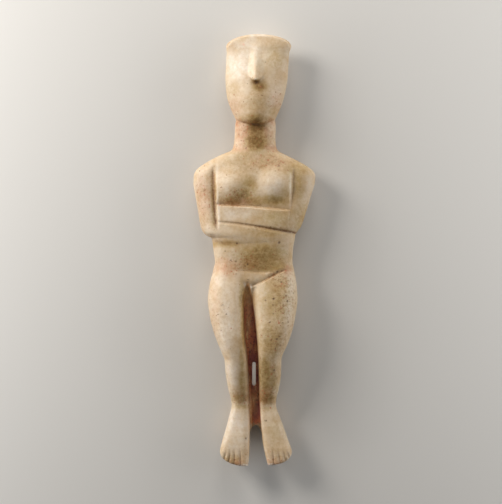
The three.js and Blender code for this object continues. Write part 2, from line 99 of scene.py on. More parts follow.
TRUNK = dict(
    rows=[
        (73.0, -11.5, 12.0, 19.5, 12.4, 6.2),  # inside the neck
        (69.3, -16.2, 16.2, 21.6, 12.2, 4.6),
        (66.3, -23.4, 21.8, 22.6, 12.2, 3.8),
        (62.0, -31.8, 30.5, 23.6, 12.1, 2.8),
        (58.0, -38.1, 37.3, 24.4, 12.0, 2.0),
        (54.8, -41.2, 41.2, 24.9, 12.0, 1.3),  # shoulders
        (51.5, -42.4, 42.6, 25.4, 12.0, 0.7),
        (46.5, -42.6, 42.1, 25.8, 12.0, 0.1),
        (38.6, -41.4, 39.8, 26.2, 12.0, -0.4),  # shoulder blades
        (27.5, -39.5, 36.4, 27.0, 12.0, -0.2),
        (16.4, -37.5, 32.6, 27.4, 12.1, 0.6),
        (12.6, -36.0, 29.9, 27.4, 12.2, 0.9),  # elbows
        (10.2, -33.6, 28.6, 27.3, 12.3, 1.2),
        (7.8, -29.8, 28.2, 27.1, 12.4, 1.5),
        (-0.5, -28.6, 26.9, 26.0, 12.6, 2.6),
        (-8.6, -27.6, 26.6, 24.8, 12.8, 3.0),  # waist
        (-14.5, -28.6, 27.5, 24.2, 12.8, 2.4),
        (-20.0, -28.6, 27.0, 24.0, 12.8, 1.8),
        (-28.0, -22.0, 20.0, 21.0, 12.6, 3.5),  # inside the thighs
        (-36.0, -14.0, 12.0, 16.5, 12.6, 8.4),
    ],
    powers=(2.35, 2.7),
    domes=[],
)
LEFT_LEG = dict(
    rows=[
        (-4.0, -24.0, -8.0, 21.0, 12.8, 6.0),  # inside the belly
        (-13.0, -27.2, -4.0, 23.4, 12.8, 2.8),
        (-19.0, -30.0, -3.6, 24.8, 12.8, 1.0),
        (-26.0, -31.6, -3.6, 26.6, 12.8, -0.1),
        (-34.0, -32.5, -3.8, 28.0, 12.9, -0.4),  # buttocks
        (-44.0, -31.5, -4.2, 29.2, 13.2, 1.2),
        (-56.0, -28.7, -4.2, 29.8, 14.6, 5.2),
        (-66.0, -25.1, -3.9, 29.2, 15.6, 8.2),
        (-73.0, -22.2, -3.6, 28.0, 15.4, 9.0),  # knee
        (-76.5, -20.9, -3.4, 27.0, 14.8, 8.8),
        (-86.0, -20.1, -3.2, 24.4, 12.8, 6.4),
        (-97.0, -18.4, -3.0, 20.8, 10.4, 3.2),  # calf
        (-105.0, -16.3, -3.0, 17.6, 8.8, 1.2),
        (-109.0, -15.8, -3.0, 16.2, 8.0, 0.4),  # ankle
        (-114.0, -14.5, -4.0, 14.5, 7.8, 1.6),  # inside the foot
    ],
    powers=(2.3, 2.4),
    domes=[],
)
RIGHT_LEG = dict(
    rows=[
        (-3.0, 8.0, 22.0, 21.0, 12.8, 6.0),
        (-13.0, 0.0, 26.3, 23.6, 12.8, 2.8),
        (-19.0, -1.5, 28.6, 25.2, 12.8, 1.0),
        (-26.0, -2.4, 29.6, 26.8, 12.8, -0.1),
        (-34.0, -2.4, 30.1, 28.0, 12.9, -0.4),
        (-44.0, -1.6, 29.0, 29.2, 13.2, 1.2),
        (-56.0, -0.6, 26.4, 29.8, 14.6, 5.2),
        (-66.0, 0.4, 22.9, 29.2, 15.6, 8.2),
        (-73.0, 1.0, 19.7, 28.0, 15.4, 9.0),
        (-76.5, 1.2, 18.8, 27.0, 14.8, 8.8),
        (-86.0, 1.6, 18.6, 24.4, 12.8, 6.4),
        (-97.0, 2.0, 17.1, 20.8, 10.4, 3.2),
        (-105.0, 2.4, 15.3, 17.6, 8.8, 1.2),
        (-109.0, 2.6, 15.0, 16.2, 8.0, 0.4),
        (-114.0, 3.6, 14.0, 14.5, 7.8, 1.6),
    ],
    powers=(2.5, 2.4),
    domes=[],
)
# The toes end on an arc: from this place on, the outer edge swings in towards the big toe.
LEFT_FOOT = dict(
    rows=[
        (-103.0, -14.0, -4.5, 15.6, 8.6, 3.0),  # inside the shin
        (-109.0, -15.7, -3.2, 16.4, 8.0, 0.6),
        (-116.0, -17.6, -2.9, 17.4, 8.2, -0.4),  # heel
        (-123.0, -19.4, -2.7, 18.2, 9.0, 0.4),
        (-131.0, -21.8, -3.0, 19.2, 11.2, 3.4),
        (-140.0, -24.0, -3.4, 20.2, 14.0, 7.4),
        (-147.0, -24.6, -4.0, 20.4, 15.8, 10.6),
        (-150.0, -24.8, -4.4, 20.2, 16.4, 12.0),
    ],
    powers=(3.2, 2.6),
    domes=[],
    toe_arc=(-140.0, -7.4),
)
RIGHT_FOOT = dict(
    rows=[
        (-103.0, 4.0, 13.5, 15.6, 8.6, 3.0),
        (-109.0, 3.0, 14.9, 16.4, 8.0, 0.6),
        (-116.0, 3.0, 17.3, 17.4, 8.2, -0.4),
        (-123.0, 3.8, 20.1, 18.2, 9.0, 0.4),
        (-131.0, 5.2, 22.9, 19.2, 11.2, 3.4),
        (-140.0, 6.9, 26.0, 20.2, 14.0, 7.4),
        (-147.0, 8.6, 27.2, 20.4, 15.8, 10.6),
        (-149.4, 9.2, 27.6, 20.2, 16.4, 12.0),
    ],
    powers=(3.2, 2.6),
    domes=[],
    toe_arc=(-139.5, 11.8),
)
WEB = dict(
    rows=[
        (-12.0, -7.0, 3.0, 22.5, 12.8, 4.0),
        (-24.0, -9.0, 3.5, 23.0, 12.8, 4.4),
        (-36.0, -9.0, 4.0, 18.5, 12.5, 8.6),
        (-60.0, -8.5, 5.5, 18.5, 14.0, 10.6),
        (-78.0, -7.5, 6.5, 17.5, 13.5, 10.4),
        (-97.0, -7.0, 6.5, 14.5, 9.5, 6.6),
        (-112.0, -7.0, 7.5, 12.5, 7.5, 4.8),
        (-126.0, -7.5, 8.0, 12.0, 7.5, 4.6),
    ],
    powers=(6, 6),
    domes=[],
)
# How each mass joins those before it, and how softly: the width of the fillet between them.
JOINED = [
    (HEAD, 0.0),
    (NECK, 1.0),
    (TRUNK, 3.0),
    (LEFT_LEG, 3.0),
    (RIGHT_LEG, 3.0),
    (LEFT_FOOT, 1.6),
    (RIGHT_FOOT, 1.6),
    (WEB, 0.8),
]

# The leg cleft: the place, the two edges of the cut at the skin, and the height of its floor. The left wall
# leans more than the right one, and its edge is worn rounder.
CLEFT_ROWS = [
    (-20.0, -5.2, -4.6, 26.0),
    (-24.0, -6.4, -3.4, 22.8),
    (-29.0, -7.9, -2.4, 19.4),
    (-36.0, -8.4, -1.2, 17.4),
    (-49.0, -8.3, 0.8, 16.8),
    (-63.0, -7.5, 2.1, 16.4),
    (-76.0, -6.0, 3.0, 15.2),
    (-90.0, -5.2, 3.5, 12.7),
    (-104.0, -4.7, 4.0, 10.4),
    (-114.0, -4.5, 4.6, 9.4),
    (-130.0, -4.4, 5.8, 9.0),
]
CLEFT_SKIN = 27.0
CLEFT_DRAFT = (0.19, 0.05)
SLOT = dict(x=-0.3, top=-78.2, bottom=-95.0, width=2.5)
FEET_GAP = dict(top=-122.8, left=-2.6, right=4.2, arch=3.2)

# A gouged line: points of x, y, depth and how much soil still fills it, then the widths of its left and
# right flank as one follows it, then how the flanks are rounded: 1 is a straight wall with a sharp edge,
# and 2 rolls over into the skin. The last value is how wide its bottom is worn.
FRONT_GOUGES = dict(
    left_arm=(
        [
            (-28.4, 58.5, 0, 0.2),
            (-28.5, 52, 1.6, 0.8),
            (-28.1, 40, 2.0, 0.95),
            (-27.4, 28, 1.9, 1),
            (-26.5, 19, 1.4, 0.9),
            (-25.6, 13, 0, 0.2),
        ],
        (2.4, 7.5),
        (1.1, 2.2),
        0.2,
    ),
    right_arm=(
        [
            (27.3, 57, 0, 0.2),
            (26.9, 50, 1.4, 0.4),
            (26.3, 41, 1.7, 0.35),
            (25.5, 33, 1.2, 0.2),
            (24.6, 27, 0.35, 0),
            (23.6, 20, 0.25, 0),
            (23.2, 15, 0, 0),
        ],
        (6.0, 1.9),
        (2.2, 1.2),
        0.2,
    ),
    foot_of_chest=(
        [
            (-27, 31.5, 0.6, 0.6),
            (-22, 31.3, 1.7, 0.6),
            (-3, 30.3, 1.9, 0.4),
            (14, 28.6, 1.8, 0.15),
            (22.5, 27.6, 0.9, 0),
            (27, 27, 0, 0),
        ],
        (10.0, 1.5),
        (1.5, 1.3),
        0.35,
    ),
    between_forearms=(
        [
            (-26, 19.8, 0.35, 0.2),
            (-22, 19.3, 0.65, 0.35),
            (-10, 18.1, 0.75, 0.45),
            (4, 16, 1.0, 0.8),
            (14.4, 14.1, 1.3, 1),
            (30, 11.6, 1.3, 1),
        ],
        (1.3, 2.7),
        (1.3, 1.3),
        0.25,
    ),
    under_forearm=(
        [
            (-35, 8.6, 0.6, 0.4),
            (-28.6, 6.9, 1.4, 0.6),
            (-22, 5.2, 1.3, 0.4),
            (-12, 4.6, 1.1, 0.3),
            (-2, 5, 0.8, 0.1),
            (10, 5.8, 0.6, 0),
            (25, 7, 0, 0),
        ],
        (6.0, 8.0),
        (1.8, 1.8),
        1.8,
    ),
    belly_crease=(
        [
            (-20, -14.6, 0, 0),
            (-8, -15, 0.5, 0.2),
            (4, -15.6, 0.8, 0.2),
            (14, -15.8, 0.8, 0.3),
            (21, -15.2, 0, 0.2),
        ],
        (8.0, 1.6),
        (2.0, 1.3),
        0.7,
    ),
    groin=(
        [
            (-2.4, -25.6, 0.4, 0),
            (4.5, -22.5, 1.1, 0.2),
            (12, -18.4, 1.5, 1),
            (18.5, -15.2, 1.1, 0.8),
            (23, -13.6, 0, 0.3),
        ],
        (4.5, 0.9),
        (1.8, 1.1),
        0.12,
    ),
)
BACK_GOUGES = dict(
    spine=(
        [
            (0.4, 64, 0, 0),
            (0.4, 56, 0.9, 0.4),
            (0, 30, 1.1, 0.5),
            (-0.6, 6, 1.1, 0.5),
            (-1.4, -20, 1.4, 0.6),
            (-1.6, -28, 0, 0.3),
        ],
        (1.8, 1.8),
        (1.5, 1.5),
        0.5,
    ),
)
# Between the toes: where each cut starts on the instep and where it runs out past the toes.
TOE_CUTS = [
    [(-10.2, -135.5), (-9.3, -152.0)],
    [(-14.0, -136.0), (-13.9, -152.0)],
    [(-16.6, -136.5), (-18.0, -151.0)],
    [(-19.2, -138.0), (-21.8, -149.0)],
    [(12.4, -135.5), (13.9, -152.0)],
    [(15.8, -136.0), (18.7, -152.0)],
    [(19.4, -136.5), (22.2, -150.0)],
    [(22.2, -138.0), (25.0, -148.0)],
]
TOE_CUT_DEPTH = 0.95
TOE_CUT_FLANK = 1.3

# Breasts: x, y, radius, rise. The nose: its axis, where it starts and ends, its rise and half-width at both.
BREASTS = [(-16.0, 45.0, 15.0, 3.6), (14.4, 46.4, 14.5, 3.6)]
NOSE = dict(x=0.9, top=143.0, tip=117.4, rise=(0.0, 4.4), half_width=(4.5, 6.2), underside=1.8, lift=5.0)
CROWN_BEVEL = 1.3

# Pits where crystals fell out or roots bit into the marble: x, y, radius, depth.
PITS = [
    (1.3, 115.2, 1.2, 0.5),  # under the nose
    (17.0, 4.9, 1.0, 0.5),
    (-4.7, -10.0, 0.8, 0.35),
    (15.7, -15.2, 0.9, 0.4),
    (-16.3, -7.2, 0.6, 0.25),
    (-20.3, -0.9, 0.5, 0.25),
    (-12.0, 4.4, 0.8, 0.3),
    (13.2, -33.8, 0.9, 0.5),
    (7.6, -34.8, 0.7, 0.25),
    (18.4, -22.3, 0.7, 0.35),
    (21.8, -31.6, 0.6, 0.25),
    (22.6, -35.6, 0.6, 0.25),
    (12.7, -38.0, 0.6, 0.25),
    (13.0, -44.0, 0.5, 0.25),
    (15.4, -61.4, 0.7, 0.3),
    (13.6, -83.2, 0.8, 0.3),
    (-6.0, -131.0, 0.7, 0.2),
    (-12.8, -8.0, 0.6, 0.25),
]

# How the masses and the cuts meet: the widths, in parts, over which their edges are worn round.
CLEFT_LEFT_EDGE = 2.4
CLEFT_RIGHT_EDGE = 1.6
SLOT_EDGE = 0.6
FEET_GAP_EDGE = 0.8

ROUND_END = 0.9995  # how near a domed end comes to a point
FRONT_STARTS = (10.0, 14.5)  # the heights between which the back's carving gives way to the front's
OPEN_AIR = 20.0  # the field's value away from every mass
MASS_REACH = 6.0  # how far past its ends a mass still counts
SOIL_SPREAD = (0.45, 0.14)  # soil's least reach from a line's bottom, and its growth with the flank
WAVES = (31.0, 23.0, 17.0, 12.0, 8.5)  # lengths of the waves that rubbing by hand leaves
WAVE_HEIGHT = 0.07


def smooth_run(rows):
    """Runs smoothly through rows that start with their place: returns place -> an array for each column."""
    rows = np.array(sorted(rows), dtype=float)
    places = rows[:, 0]
    values = rows[:, 1:]
    gaps = np.diff(places)[:, None]
    slopes = np.diff(values, axis=0) / gaps
    product = slopes[:-1] * slopes[1:]
    total = slopes[:-1] + slopes[1:]
    inner = np.where(product > 0, 2 * product / np.where(total == 0, 1, total), 0)
    tangents = np.vstack([slopes[:1], inner, slopes[-1:]])

    def run(place):
        at = np.clip(place, places[0], places[-1])
        i = np.clip(np.searchsorted(places, at, side="right") - 1, 0, len(gaps) - 1)
        t = ((at - places[i]) / gaps[i, 0])[..., None]
        start = values[i] * (1 + 2 * t) * (1 - t) ** 2 + tangents[i] * gaps[i] * t * (1 - t) ** 2
        end = values[i + 1] * t * t * (3 - 2 * t) - tangents[i + 1] * gaps[i] * t * t * (1 - t)
        return np.moveaxis(start + end, -1, 0)

    return run


def smooth_step(value, low, high):
    """0 below low, 1 above high, and a smooth rise between."""
    t = np.clip((value - low) / (high - low), 0, 1)
    return t * t * (3 - 2 * t)


def round_end(y, start, end):
    """How much of a section is left along a domed end: all at its start and next to none at its end."""
    return np.sqrt(1 - np.clip((y - start) / (end - start), 0, ROUND_END) ** 2)


def section(mass, y):
    """The edges and heights of a mass's section at y, with domed ends and toes taken into account."""
    left, right, front, side, back = mass["run"](y)
    for start, end, height in mass["domes"]:
        size = round_end(y, start, end)
        middle = (left + right) / 2
        left = middle + (left - middle) * size
        right = middle + (right - middle) * size
        front, side, back = (height + (level - height) * size for level in (front, side, back))
    if "toe_arc" in mass:
        start, big_toe = mass["toe_arc"]
        end, outer_edge = mass["rows"][-1][:2]
        size = round_end(y, start, end)
        if outer_edge < 0:
            left = big_toe + (left - big_toe) * size
        else:
            right = big_toe + (right - big_toe) * size
    return left, right, front, side, back


def oval(mass, x, y, z):
    """About how far a point is outside a mass; negative inside."""
    left, right, front, side, back = section(mass, y)
    half_width = (right - left) / 2
    up = z - side
    is_front = up >= 0
    half_height = np.where(is_front, front - side, side - back)
    power = np.where(is_front, *mass["powers"])
    u = np.abs(x - (left + right) / 2) / half_width
    v = np.abs(up) / half_height
    size = np.maximum((u**power + v**power) ** (1 / power), 1e-3)
    steepness = np.hypot(
        (u / size) ** (power - 1) / half_width,
        (v / size) ** (power - 1) / half_height,
    )
    past_end = np.maximum(y - mass["rows"][0][0], mass["rows"][-1][0] - y)
    return np.maximum((size - 1) / np.maximum(steepness, 1e-6), past_end)


def merge(a, b, softness):
    """The union of two fields, with a fillet where they meet."""
    if softness == 0:
        return np.minimum(a, b)
    h = np.maximum(softness - np.abs(a - b), 0) / softness
    return np.minimum(a, b) - h**3 * softness / 6


def carve(body, tool, softness):
    """A field with a tool's field taken out of it, and its edge worn round."""
    h = np.maximum(softness - np.abs(body + tool), 0) / softness
    return np.maximum(body, -tool) + h**3 * softness / 6


def along_path(x, y, path):
    """The distance to a path, the depth and soil at its nearest place, and whether that is on its left."""
    xs, ys, depths, soils = np.array(path, dtype=float).T
    nearest = np.full_like(x, np.inf)
    depth = np.zeros_like(x)
    soil = np.zeros_like(x)
    on_left = np.zeros_like(x, dtype=bool)
    for i in range(len(xs) - 1):
        dx = xs[i + 1] - xs[i]
        dy = ys[i + 1] - ys[i]
        along = np.clip(((x - xs[i]) * dx + (y - ys[i]) * dy) / (dx * dx + dy * dy), 0, 1)
        off_x = x - xs[i] - along * dx
        off_y = y - ys[i] - along * dy
        distance = np.hypot(off_x, off_y)
        closer = distance < nearest
        nearest = np.where(closer, distance, nearest)
        depth = np.where(closer, depths[i] + along * (depths[i + 1] - depths[i]), depth)
        soil = np.where(closer, soils[i] + along * (soils[i + 1] - soils[i]), soil)
        on_left = np.where(closer, dx * off_y - dy * off_x > 0, on_left)
    return nearest, depth, soil, on_left


def gouge_depth(x, y, path, flanks, rounding, bottom):
    """How deep a gouged line cuts at (x, y), and how much soil it holds there."""
    depth = np.zeros_like(x)
    soil = np.zeros_like(x)
    reach = max(flanks)
    xs, ys, depths, _ = np.array(path, dtype=float).T
    near = (x > xs.min() - reach) & (x < xs.max() + reach) & (y > ys.min() - reach) & (y < ys.max() + reach)
    if not near.any():
        return depth, soil
    nearest, here, filled, on_left = along_path(x[near], y[near], path)
    flank = np.where(on_left, *flanks)
    width = np.maximum(flank * np.sqrt(here / depths.max()), 1e-3)
    share = np.clip(1 - np.hypot(nearest, bottom) / width, 0, 1)
    depth[near] = here * share ** np.where(on_left, *rounding)
    least, more = SOIL_SPREAD
    soil[near] = filled * np.exp(-((nearest / (least + more * flank)) ** 2))
    return depth, soil


def deepest(x, y, gouges):
    """The deepest of several gouged lines at (x, y), and the most soil in them."""
    cuts = [gouge_depth(x, y, *gouge) for gouge in gouges]
    return np.max([depth for depth, _ in cuts], axis=0), np.max([soil for _, soil in cuts], axis=0)


def toe_gouges():
    """The cuts between the toes as gouged lines that deepen, and hold more soil, towards the toes' tips."""
    gouges = []
    for (x0, y0), (x1, y1) in TOE_CUTS:
        middle = ((x0 + x1) / 2, (y0 + y1) / 2, TOE_CUT_DEPTH, 0.15)
        path = [(x0, y0, 0.05, 0), middle, (x1, y1, TOE_CUT_DEPTH, 0.5)]
        gouges.append((path, (TOE_CUT_FLANK, TOE_CUT_FLANK), (1.5, 1.5), 0.3))
    return gouges


def mound(x, y, cx, cy, radius, rise):
    """A low round mound."""
    out = np.clip(((x - cx) ** 2 + (y - cy) ** 2) / radius**2, 0, 1)
    return rise * (1 - out) ** 2


def nose(x, y):
    """The nose ridge: it grows out of the brow and drops steeply below its rounded tip."""
    share = np.clip((NOSE["top"] - y) / (NOSE["top"] - NOSE["tip"]), 0, 1)
    half_width = np.interp(share, (0, 1), NOSE["half_width"])
    across = np.clip(np.abs(x - NOSE["x"]) / half_width, 0, 1)
    edge = NOSE["tip"] + NOSE["lift"] * across**2
    rise = np.interp(share, (0, 1), NOSE["rise"]) * smooth_step(y, edge - NOSE["underside"], edge)
    return rise * (1 - across**1.7) ** 1.8


def crown_bevel(x, y):
    """How far the crown's edge is bevelled off."""
    start, end, _ = HEAD["domes"][0]
    left, right = HEAD["rows"][0][1:3]
    half_width = (right - left) / 2
    across = (x - (left + right) / 2) / half_width
    up = np.maximum(y - start, 0) / (end - start)
    out = np.maximum(np.hypot(across, up), 1e-3)
    steepness = np.hypot(across / half_width, up / (end - start)) / out
    inwards = (1 - out) / np.maximum(steepness, 1e-3)
    return np.clip(CROWN_BEVEL - inwards, 0, CROWN_BEVEL) * smooth_step(y, start - 1, start + 1)


def hand_waver(x, y):
    """The slight unevenness that rubbing by hand leaves: a few long waves across each other."""
    waver = np.zeros_like(x)
    dice = np.random.default_rng(7)
    for length in WAVES:
        turn, phase = dice.uniform(0, 2 * np.pi, 2)
        along = x * np.cos(turn) + y * np.sin(turn)
        waver += length / WAVES[0] * np.sin(along * 2 * np.pi / length + phase)
    return WAVE_HEIGHT * waver


def front_carving(x, y):
    """How far the front is cut down at (x, y), less how far it is raised."""
    lines, _ = deepest(x, y, FRONT_CUTS)
    pits = np.max([mound(x, y, *pit) for pit in PITS], axis=0)
    raised = np.sum([mound(x, y, *breast) for breast in BREASTS], axis=0) + nose(x, y)
    return lines + pits + crown_bevel(x, y) - raised + hand_waver(x, y)


def back_carving(x, y):
    """How far the back is cut in at (x, y)."""
    lines, _ = deepest(x, y, BACK_GOUGES.values())
    return lines + hand_waver(x + 50, y)


def cleft_tool(x, y, z):
    """The field of the cleft's cutter, and where its right wall is the nearer one."""
    left, right, floor = CLEFT_RUN(y)
    from_left = left + CLEFT_DRAFT[0] * (CLEFT_SKIN - z) - x
    from_right = x - right + CLEFT_DRAFT[1] * (CLEFT_SKIN - z)
    past_top = y - CLEFT_ROWS[0][0]
    tool = np.maximum(np.maximum(from_left, from_right), np.maximum(floor - z, past_top))
    return tool, from_right > from_left


def slot_tool(x, y):
    """The field of the slot that pierces the slab between the calves."""
    radius = SLOT["width"] / 2
    middle = np.clip(y, SLOT["bottom"] + radius, SLOT["top"] - radius)
    return np.hypot(x - SLOT["x"], y - middle) - radius


def feet_gap_tool(x, y):
    """The field of the arch that ends the slab between the feet."""
    half = (FEET_GAP["right"] - FEET_GAP["left"]) / 2
    middle = (FEET_GAP["right"] + FEET_GAP["left"]) / 2
    across = np.abs(x - middle) / half
    ceiling = FEET_GAP["top"] - FEET_GAP["arch"] * np.minimum(across, 1.2) ** 2.4
    return np.maximum((across - 1.2) * half, y - ceiling)


def parted_legs(body, x, y, z):
    """The field of the legs with the cleft, the slot and the gap between the feet cut out of it."""
    tool, at_right = cleft_tool(x, y, z)
    cut = carve(body, tool, np.where(at_right, CLEFT_RIGHT_EDGE, CLEFT_LEFT_EDGE))
    cut = carve(cut, slot_tool(x, y), SLOT_EDGE)
    return carve(cut, feet_gap_tool(x, y), FEET_GAP_EDGE)


def figure(x, y, z):
    """The whole figurine's field at points given as flat arrays: negative inside the marble."""
    to_front = smooth_step(z, *FRONT_STARTS)
    level = z + front_carving(x, y) * to_front - back_carving(x, y) * (1 - to_front)
    body = np.full(x.shape, OPEN_AIR)
    for mass, softness in JOINED:
        near = (y < mass["rows"][0][0] + MASS_REACH) & (y > mass["rows"][-1][0] - MASS_REACH)
        if near.any():
            part = oval(mass, x[near], y[near], level[near])
            body[near] = merge(body[near], part, softness)
    legs = y < CLEFT_ROWS[0][0] + 4
    if legs.any():
        body[legs] = parted_legs(body[legs], x[legs], y[legs], z[legs])
    return np.maximum(body, -z)


for each_mass, _ in JOINED:
    each_mass["run"] = smooth_run(each_mass["rows"])
CLEFT_RUN = smooth_run(CLEFT_ROWS)
FRONT_CUTS = list(FRONT_GOUGES.values()) + toe_gouges()


# ---- The net over the form ----

NET_STEP = 0.5  # parts between the net's points
GRID_MARGIN = 2.5
BLOCK = 4  # grid cells along the side of a block that is looked at roughly first
BATCH = 400000  # points worked out at a time
MOST_TRIANGLES = 192000
CUBE = [(a, b, c) for a in (0, 1) for b in (0, 1) for c in (0, 1)]  # a grid cell's corners


def sampled(step):
    """The figure's field on an even grid, worked out finely only near the skin, and the grid's first corner."""
    low = np.array([LOW.x / PART, LOW.y / PART, LOW.z / PART]) - GRID_MARGIN
    size = np.array([HIGH.x - LOW.x, HIGH.y - LOW.y, HIGH.z - LOW.z]) / PART + 2 * GRID_MARGIN
    blocks = np.ceil(size / (step * BLOCK)).astype(int)
    axes = [low[i] + (np.arange(blocks[i]) + 0.5) * step * BLOCK for i in range(3)]
    centres = np.meshgrid(*axes, indexing="ij")
    field = figure(*(axis.ravel() for axis in centres)).reshape(blocks)
    for axis in range(3):
        field = np.repeat(field, BLOCK, axis)
    close = step * BLOCK * 1.3
    i, j, k = np.nonzero(np.abs(field) < close)
    for part in np.array_split(np.arange(len(i)), 1 + len(i) // BATCH):
        at = i[part], j[part], k[part]
        points = [low[axis] + (at[axis] + 0.5) * step for axis in range(3)]
        field[at] = figure(*points)
    return field, low + step / 2


def crossed_cells(inside):
    """Which grid cells the skin runs through: those with corners both inside and outside."""
    size = np.array(inside.shape) - 1
    count = np.zeros(size, dtype=np.int8)
    for a, b, c in CUBE:
        count += inside[a : a + size[0], b : b + size[1], c : c + size[2]]
    return (count > 0) & (count < len(CUBE))


def crossing_points(field, cells):
    """A point in each cell, amid the places where the skin cuts the cell's edges."""
    total = np.zeros((len(cells), 3))
    hits = np.zeros(len(cells))
    for start in CUBE:
        for axis in range(3):
            if start[axis]:
                continue
            end = np.array(start)
            end[axis] = 1
            at_start = field[tuple((cells + start).T)]
            at_end = field[tuple((cells + end).T)]
            hit = (at_start < 0) != (at_end < 0)
            share = np.where(hit, at_start / np.where(hit, at_start - at_end, 1), 0)
            point = cells + np.array(start) + share[:, None] * (end - np.array(start))
            total[hit] += point[hit]
            hits += hit
    return total / hits[:, None]


def quads_facing_out(inside, number):
    """A quad round each grid edge that the skin cuts, through the points of the four cells about it."""
    quads = []
    for axis in range(3):
        across = (axis + 1) % 3
        up = (axis + 2) % 3
        first = [slice(None)] * 3
        second = [slice(None)] * 3
        first[axis] = slice(None, -1)
        second[axis] = slice(1, None)
        changes = inside[tuple(first)] != inside[tuple(second)]
        edges = np.argwhere(changes)
        outwards = inside[tuple(first)][changes]
        ring = []
        for back_across, back_up in ((1, 1), (0, 1), (0, 0), (1, 0)):
            cell = edges.copy()
            cell[:, across] -= back_across
            cell[:, up] -= back_up
            ring.append(number[tuple(cell.T)])
        ring = np.stack(ring, axis=1)
        quads.append(np.where(outwards[:, None], ring, ring[:, ::-1]))
    return np.concatenate(quads)


def net_over(field, origin, step):
    """A closed net of quads over the field's skin: a point in each cell that the skin crosses."""
    inside = field < 0
    crossed = crossed_cells(inside)
    cells = np.argwhere(crossed)
    number = np.full(crossed.shape, -1)
    number[crossed] = np.arange(len(cells))
    return origin + step * crossing_points(field, cells), quads_facing_out(inside, number)


def slope(points, reach=0.05):
    """The field's gradient at points."""
    columns = []
    for axis in range(3):
        shift = np.zeros(3)
        shift[axis] = reach
        rise = figure(*(points + shift).T) - figure(*(points - shift).T)
        columns.append(rise / (2 * reach))
    return np.stack(columns, axis=1)


def settled(points, rounds, furthest):
    """Points moved onto the figure's skin, each by no more than a given distance a round."""
    for _ in range(rounds):
        rise = slope(points)
        step = figure(*points.T)[:, None] * rise / np.maximum((rise**2).sum(1), 0.05)[:, None]
        length = np.linalg.norm(step, axis=1)[:, None]
        points = points - step * np.minimum(1, furthest / np.maximum(length, 1e-9))
    return points


def thinned(points, quads):
    """The net as a mesh, thinned where the form is plain."""
    net = bpy.data.meshes.new("marble_net")
    net.from_pydata(points * PART, [], quads.tolist())
    piece = bpy.data.objects.new("marble_net", net)
    bpy.context.collection.objects.link(piece)
    triangles = 2 * len(quads)
    if triangles > MOST_TRIANGLES:
        thin = piece.modifiers.new("thin", "DECIMATE")
        thin.ratio = MOST_TRIANGLES / triangles
    shown = piece.evaluated_get(bpy.context.evaluated_depsgraph_get())
    mesh = bpy.data.meshes.new_from_object(shown)
    bpy.data.objects.remove(piece)
    return mesh


def carved_figurine():
    """The marble and its points in parts: the net is settled onto the skin, thinned, and settled again."""
    step = NET_STEP
    field, origin = sampled(step)
    points, quads = net_over(field, origin, step)
    mesh = thinned(settled(points, 2, step / 2), quads)
    mesh.name = "marble_figurine"
    left = np.empty(len(mesh.vertices) * 3)
    mesh.vertices.foreach_get("co", left)
    points = settled(left.reshape(-1, 3) / PART, 1, step / 4)
    mesh.vertices.foreach_set("co", (points * PART).ravel())
    mesh.polygons.foreach_set("use_smooth", [True] * len(mesh.polygons))
    mesh.update()
    piece = bpy.data.objects.new("marble_figurine", mesh)
    bpy.context.collection.objects.link(piece)
    return piece, points


# ---- What the ground and the years left on it, with painted shade and highlights ----

# Each list holds soft patches on the front: x, y, half-width, half-height, strength.
# Dark soil that never came out of the marble, and painted shade under the nose, the chin, the left breast and
# the elbow.
SOIL_AND_SHADE = [
    # Under the nose: a painted shadow over a real stain.
    (0.9, 115.2, 3.2, 1.6, 0.9),  # under the nose
    (4.8, 111.8, 2.6, 2.6, 0.55),
    # The thin strip is a painted shadow of the chin; the patch after it is a real stain.
    (-5, 88.6, 8, 1.0, 0.5),  # under the chin
    (1, 87.6, 3.5, 2.6, 0.6),
    (1, 81, 4, 5, 0.45),  # throat
    # Painted shade under the left breast.
    (-18, 33, 5, 1.6, 0.4),  # under the left breast
    (-8, 33.4, 7, 1.6, 0.35),
    # Painted shade under the elbow.
    (-30.4, 10.2, 3, 1.2, 0.5),  # elbow
    (-4.6, -22.2, 1.0, 1.6, 0.35),  # head of the cleft
    (13, -16.2, 4, 1.2, 0.4),
    (-13, -150, 9, 1.8, 0.8),  # toes
    (16, -149.6, 10, 1.8, 0.8),
]
